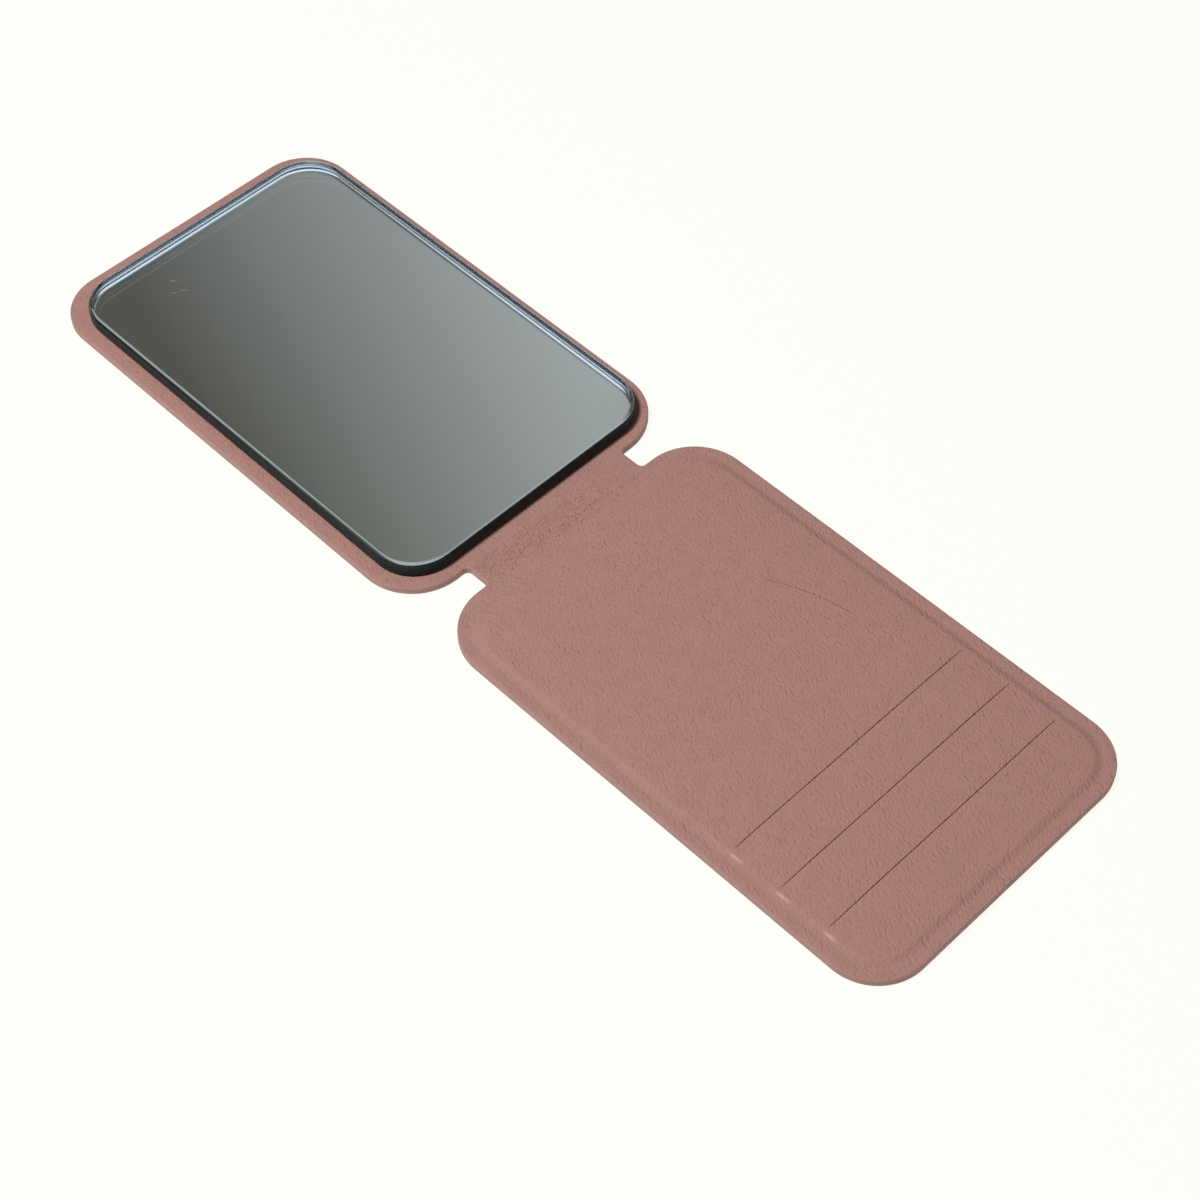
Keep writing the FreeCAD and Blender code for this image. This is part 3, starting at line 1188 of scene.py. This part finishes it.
    def build(self) -> bpy.types.Object:
        """Makes the closed skin and hides what it stands for.

        Returns:
            The new piece.
        """
        upper, upper_edge, upper_cuts = self.draw_upper()
        lower, lower_edge, lower_cuts = self.draw_lower()
        above = self.add_face(upper, True)
        below = self.add_face(lower, False)
        self.add_wall([above[n] for n in upper_edge], [below[n] for n in lower_edge], False)
        for top_cut, low_cut in zip(upper_cuts, lower_cuts):
            self.add_wall([above[n] for n in top_cut][::-1], [below[n] for n in low_cut][::-1], True)
        self.add_seam()
        piece = make_piece(self.name, self.points, self.faces, self.finishes)
        for edge in piece.data.edges:
            edge.use_edge_sharp = all(abs(piece.data.vertices[v].co.y) < MERGE_DISTANCE * MM
                                      for v in edge.vertices)
        start = Vector((*self.side.turned(0.0, self.bend_start), 0.0)) * MM
        end = Vector((*self.side.turned(0.0, self.bend_end), 0.0)) * MM
        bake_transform(piece)
        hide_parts(*self.nodes)
        return piece


@dataclass
class LeatherCover:
    """The inner and the outer leather, each one dog-bone sheet in two halves."""

    plan: PanelPlan
    card_margin: float = 2.25
    card_end_margin: float = 2.3
    card_step: float = 1.8
    card_ramp: float = 4.0
    card_radius: float = 8.2
    mirror_margin: float = 4.2
    mirror_step: float = 1.0
    mirror_radius: float = 7.0
    slit_half_length: float = 28.75
    edge_round: float = 0.3
    glued_round: float = 0.05
    hollow_wall: float = 1.0

    def raised_field(self, side: Side, side_gap: float, end_gap: float, step: float, ramp: float,
                     radius: float) -> RaisedField:
        """Field of one panel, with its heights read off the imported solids.

        Args:
            side: panel that it is on.
            side_gap: margin at the sides and at the hinge.
            end_gap: margin at the free end.
            step: run of its step.
            ramp: run of its rise at the hinge.
            radius: corner radius at its foot.

        Returns:
            The field.
        """
        panel = self.plan.panel
        face_low, face_high = box_mm(f"{side.node_prefix}_face_leather")
        margin_top = box_mm("spine_face_leather")[1].z
        rise = face_high.z - margin_top
        inside = [box_mm(node)[1].z for node in frame["record"]["behaviour"]["bodies"][side.body]
                  if node.startswith("pocket_liner") or node == "mirror_stiffener"]
        foot = RoundedRectangle(panel.half_width - side_gap, panel.near + side_gap,
                                panel.far - end_gap, radius, radius)
        top = RoundedRectangle(foot.half_width - step, foot.near + ramp, foot.far - step,
                               radius - step, radius - step)
        hollow_rise = max(inside) - face_low.z + self.glued_round
        return RaisedField(foot, top, rise, self.hollow_wall, hollow_rise)

    def card_slits(self) -> tuple[CardSlit, ...]:
        """The card slits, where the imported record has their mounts."""
        mounts = [mount for mount in frame["record"]["mounts"] if mount["name"].startswith("card_slot")]
        return tuple(CardSlit(-mount["pos_m"][1] / MM, self.slit_half_length) for mount in mounts)

    def inner_sheet(self, side: Side) -> LeatherSheet:
        """Inner leather of one side of the fold."""
        if side is Side.CARD:
            raised = self.raised_field(side, self.card_margin, self.card_end_margin, self.card_step,
                                       self.card_ramp, self.card_radius)
            slits = self.card_slits()
        else:
            raised = self.raised_field(side, self.mirror_margin, self.mirror_margin, self.mirror_step,
                                       self.mirror_step, self.mirror_radius)
            slits = ()
        low, high = box_mm("spine_face_leather")
        nodes = (f"{side.node_prefix}_face_leather", "spine_face_leather")
        return LeatherSheet(side, self.plan, f"inner_leather_{side.label}", "inner_leather", nodes,
                            low.z, high.z, self.edge_round, self.glued_round, raised, slits)

    def outer_sheet(self, side: Side) -> LeatherSheet:
        """Outer leather of one side of the fold."""
        low, high = box_mm("spine_back_leather")
        nodes = (f"{side.node_prefix}_back_leather", "spine_back_leather")
        return LeatherSheet(side, self.plan, f"outer_leather_{side.label}", "outer_leather", nodes,
                            low.z, high.z, self.glued_round, self.edge_round)

    def build(self) -> list[bpy.types.Object]:
        """Makes the four halves and dresses them."""
        inner = LeatherFinish().material("rose_leather_inner", marked=True)
        outer = LeatherFinish().material("rose_leather_outer", marked=False)
        edge = EdgeFinish().material("burnished_leather_edge")
        pieces = []
        for side in Side:
            inside = self.inner_sheet(side).build()
            dress(inside, inner, edge)
            outside = self.outer_sheet(side).build()
            dress(outside, outer, edge)
            pieces += [inside, outside]
        return pieces


@dataclass
class MirrorPlate:
    """The glass with its polished round edge, its coat, its rim of dark paint with a painted shade band,
    and the pad under it.
    """

    front_round: float = 0.95
    back_round: float = 0.2
    corner_radius: float = 8.8
    coat_gap: float = 0.012
    coat_thickness: float = 0.03
    satin_roughness: float = 0.3
    flat_strip: float = 0.02
    round_steps: int = 15
    painted_steps: int = 6

    def __post_init__(self) -> None:
        """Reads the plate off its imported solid."""
        self.low, self.high = box_mm("mirror_glass")
        self.outline = RoundedRectangle(self.high.x, self.low.y, self.high.y, self.corner_radius,
                                        self.corner_radius)
        self.wall_top = self.high.z - self.front_round

    def back_lines(self, skin: float) -> list[tuple[float, float]]:
        """Inset and height of the lines from the flat back to the wall, drawn in by a skin."""
        radius = self.back_round - skin
        middle = self.low.z + self.back_round
        return [(self.back_round - radius * math.sin(turn), middle - radius * math.cos(turn))
                for turn in quarter_turns(self.round_steps)]

    def front_lines(self, skin: float) -> list[tuple[float, float]]:
        """Inset and height of the lines from the wall to the flat front, with the wall drawn in."""
        across = self.front_round - skin
        return [(self.front_round - across * math.cos(turn),
                 self.wall_top + self.front_round * math.sin(turn))
                for turn in quarter_turns(self.round_steps)]

    def ring(self, inset: float) -> list[Place]:
        """Outline drawn in by an inset, always with the same number of points."""
        drawn = []
        radius = self.corner_radius
        shrink = (radius - inset) / radius
        for u, v in self.outline.ring():
            centre_u = max(min(u, self.outline.half_width - radius), radius - self.outline.half_width)
            centre_v = max(min(v, self.outline.far - radius), self.outline.near + radius)
            drawn.append((lerp(centre_u, u, shrink), lerp(centre_v, v, shrink)))
        return drawn

    def wound(self, lines: Sequence[tuple[float, float]], closed: bool
              ) -> tuple[list[Point], list[list[int]]]:
        """Points and faces of a skin that follows the outline.

        Args:
            lines: inset and height of each line round it.
            closed: whether the last line joins the first.

        Returns:
            The points and the faces, row by row.
        """
        points = []
        for inset, height in lines:
            points += [(u, v, height) for u, v in self.ring(inset)]
        count = len(points) // len(lines)
        faces = []
        for number in range(len(lines) if closed else len(lines) - 1):
            lower = number * count
            upper = (number + 1) % len(lines) * count
            for step in range(count):
                following = (step + 1) % count
                faces.append([lower + step, lower + following, upper + following, upper + step])
        return points, faces

    def build_glass(self) -> bpy.types.Object:
        """Makes the clear plate."""
        skin = self.coat_thickness + self.coat_gap
        back = self.back_lines(skin)
        front = self.front_lines(skin)
        strip = self.flat_strip
        lines = [(back[0][0] + strip, back[0][1]), *back, *front, (front[-1][0] + strip, front[-1][1])]
        points, faces = self.wound(lines, closed=False)
        count = len(points) // len(lines)
        faces.append(list(range(count))[::-1])
        faces.append(list(range(len(points) - count, len(points))))
        glass = make_piece("mirror_glass_plate", points, faces)
        dress(glass, GlassFinish().material("clear_mirror_glass"))
        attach(glass, Side.MIRROR.body)
        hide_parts("mirror_glass")
        return glass

    def build_rim(self) -> bpy.types.Object:
        """Makes the thin coat that turns up round the edge, silver inside and dark outside: paint on the
        wall and back, painted shade up the front rounding.
        """
        shelf = self.high.x - box_mm("mirror_silvering")[1].x
        # The dark outer face reaches painted_steps up the front rounding: painted shade where the clear
        # glass edge looks dark.
        outer, inner = ([(shelf, self.low.z + skin), *self.back_lines(skin),
                         *self.front_lines(skin)[:self.painted_steps + 1]]
                        for skin in (0.0, self.coat_thickness))
        points, faces = self.wound(outer + inner[::-1], closed=True)
        count = len(self.ring(0.0))
        painted = len(outer) * count
        rim = make_piece("mirror_rim_paint_and_shade", points, faces,
                         [1 if number < painted else 0 for number in range(len(faces))])
        satin = SilverFinish(self.satin_roughness).material("satin_rim_coat")
        dress(rim, satin, RimFinish().material("dark_rim_paint_and_shade"))
        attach(rim, Side.MIRROR.body)
        return rim

    def build(self) -> list[bpy.types.Object]:
        """Makes the plate and its rim, and dresses what lies under them."""
        coat_top = box_mm("mirror_silvering")[1].z
        dress_node("mirror_silvering", SilverFinish().backed_material("silver_coat", coat_top))
        dress_node("mirror_adhesive_pad", FoamFinish().material("dark_foam_tape"))
        return [self.build_glass(), self.build_rim()]


@dataclass
class HiddenLayers:
    """Boards, pocket liners and tape that stay as packed and get their finishes."""

    def build(self) -> list[str]:
        """Dresses the nodes and returns their names."""
        board = BoardFinish().material("pressed_board")
        lining = LiningFinish().material("brown_lining")
        dressed = []
        for part in frame["record"]["subparts"]:
            material = {"board": board, "lining": lining}.get(part["material_slot"])
            if material:
                dress_node(part["node"], material)
                dressed.append(part["node"])
        return dressed


@dataclass
class Studio:
    """Floor, soft light, the room that the mirror shows, and the camera."""

    azimuth: float = -44.757
    elevation: float = 52.290
    distance: float = 434.55
    aim: Place = (-6.970, -18.227)
    lens: float = 74.16
    nearest: float = 10.0
    floor_size: float = 6000.0
    floor_gap: float = 0.02
    floor_glow: float = 0.93
    floor_roughness: float = 0.9
    lamp_distance: float = 800.0
    lamp_size: float = 190.0
    lamp_azimuth: float = -107.5
    lamp_elevation: float = 65.0
    lamp_power: float = 6.45
    fill: Colour = (0.125, 0.125, 0.12)
    room_base: Colour = (1.371, 1.421, 1.555)
    room_by_side: Colour = (1.763, 1.851, 1.968)
    room_by_height: Colour = (-1.369, -1.423, -1.598)
    room_darkest: Colour = (0.091, 0.088, 0.077)
    room_lightest: Colour = (0.385, 0.40, 0.40)
    mirror_share: float = 0.9
    right_loss: float = 0.82
    right_reach: tuple[float, float] = (-0.01, 0.09)
    skylight: Colour = (0.81, 0.925, 1.12)
    skylight_lean: Place = (-0.15, -0.15)
    skylight_reach: tuple[float, float] = (0.66, 0.76)

    @staticmethod
    def aimed(data: bpy.types.ID, azimuth: float, elevation: float, distance: float,
              aim: Place) -> bpy.types.Object:
        """Adds a camera or a lamp that looks at a place on the table.

        Args:
            data: camera or lamp, whose name the object gets.
            azimuth: turn round the table, in degrees.
            elevation: height over the table, in degrees.
            distance: distance from the place.
            aim: the place.

        Returns:
            The new object.
        """
        turn = math.radians(azimuth)
        rise = math.radians(elevation)
        back = Vector((math.sin(turn) * math.cos(rise), -math.cos(turn) * math.cos(rise),
                       math.sin(rise)))
        made = add_object(data.name, data)
        made.location = (Vector((*aim, 0.0)) + back * distance) * MM
        made.rotation_euler = (-back).to_track_quat("-Z", "Y").to_euler()
        return made

    def add_camera(self) -> None:
        """Puts the camera where the photograph was taken from."""
        data = bpy.data.cameras.new("photo_camera")
        data.lens = self.lens
        data.clip_start = self.nearest * MM
        bpy.context.scene.camera = self.aimed(data, self.azimuth, self.elevation, self.distance,
                                              self.aim)

    def add_floor(self) -> None:
        """Lays a plain pale floor that keeps the object's shadow."""
        half = self.floor_size / 2
        corners = [(-half, -half), (half, -half), (half, half), (-half, half)]
        floor = make_piece("studio_floor", [(x, y, -self.floor_gap) for x, y in corners], [[0, 1, 2, 3]])
        shader = Shader.for_material("pale_floor")
        plain = shader.surface({"Base Color": shader.colour(Tint.FLOOR.value),
                                "Roughness": self.floor_roughness})
        white = {"Color": shader.colour(Tint.PAPER_WHITE.value), "Strength": 1.0}
        glow = shader.node("ShaderNodeEmission", None, white)
        shown = shader.shown_if(shader.to_eye() * self.floor_glow, plain, glow)
        dress(floor, shader.finish(shown))

    def add_room(self) -> None:
        """Fills the scene with a dim even light, and shows the mirror a room under a skylight."""
        world = bpy.data.worlds.new("soft_room")
        bpy.context.scene.world = world
        shader = Shader(world)
        direction = shader.node("ShaderNodeTexCoord", None, None, output="Generated")
        x, y, height = shader.parts(direction)
        turn = math.radians(self.azimuth)
        to_side = x * math.cos(turn) + y * math.sin(turn)
        share = (1.0 - to_side.soft_step(*self.right_reach) * self.right_loss) / self.mirror_share
        tones = []
        for base, by_side, by_height, darkest, lightest in zip(
                self.room_base, self.room_by_side, self.room_by_height, self.room_darkest,
                self.room_lightest):
            tone = base + to_side * by_side + height * by_height
            tones.append(tone.at_least(darkest).at_most(lightest) * share)
        colour = shader.node("ShaderNodeCombineColor", None, dict(enumerate(tones)))
        middle = Vector((*self.skylight_lean, 1.0)).normalized()
        overhead = (x * middle.x + y * middle.y + height * middle.z).soft_step(*self.skylight_reach)
        colour = shader.mixed(overhead, colour, self.skylight)
        fill, room, paper = (shader.node("ShaderNodeBackground", None, {"Color": shader.colour(light)})
                             for light in (self.fill, colour, Tint.PAPER_WHITE.value))
        seen = shader.shown_if(shader.to_eye(), fill, room)
        shader.finish(shader.shown_if(shader.camera_ray(), seen, paper))

    def add_lamp(self) -> None:
        """Hangs one soft lamp high up on the left of the camera's view, out of the mirror's sight."""
        data = bpy.data.lights.new("soft_box", "AREA")
        data.shape = "DISK"
        data.size = self.lamp_size * MM
        data.energy = self.lamp_power
        lamp = self.aimed(data, self.lamp_azimuth, self.lamp_elevation, self.lamp_distance,
                          (0.0, 0.0))
        lamp.visible_camera = False
        lamp.visible_glossy = False
        lamp.visible_transmission = False

    def build(self) -> None:
        """Sets the whole studio up."""
        self.add_camera()
        self.add_floor()
        self.add_room()
        self.add_lamp()
        bpy.context.scene.view_settings.view_transform = "Standard"


def main() -> None:
    """Builds every sub-assembly in order and reports it."""
    logging.basicConfig(level=logging.INFO, format="%(name)s: %(message)s")
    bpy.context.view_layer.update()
    plan = PanelPlan.from_frame()
    for piece in LeatherCover(plan).build():
        log.info("%s: %d faces", piece.name, len(piece.data.polygons))
    for piece in MirrorPlate().build():
        log.info("%s: %d faces", piece.name, len(piece.data.polygons))
    log.info("dressed as packed: %s", ", ".join(HiddenLayers().build()))
    Studio().build()
    log.info("studio set up")


if __name__ == "__main__":
    main()
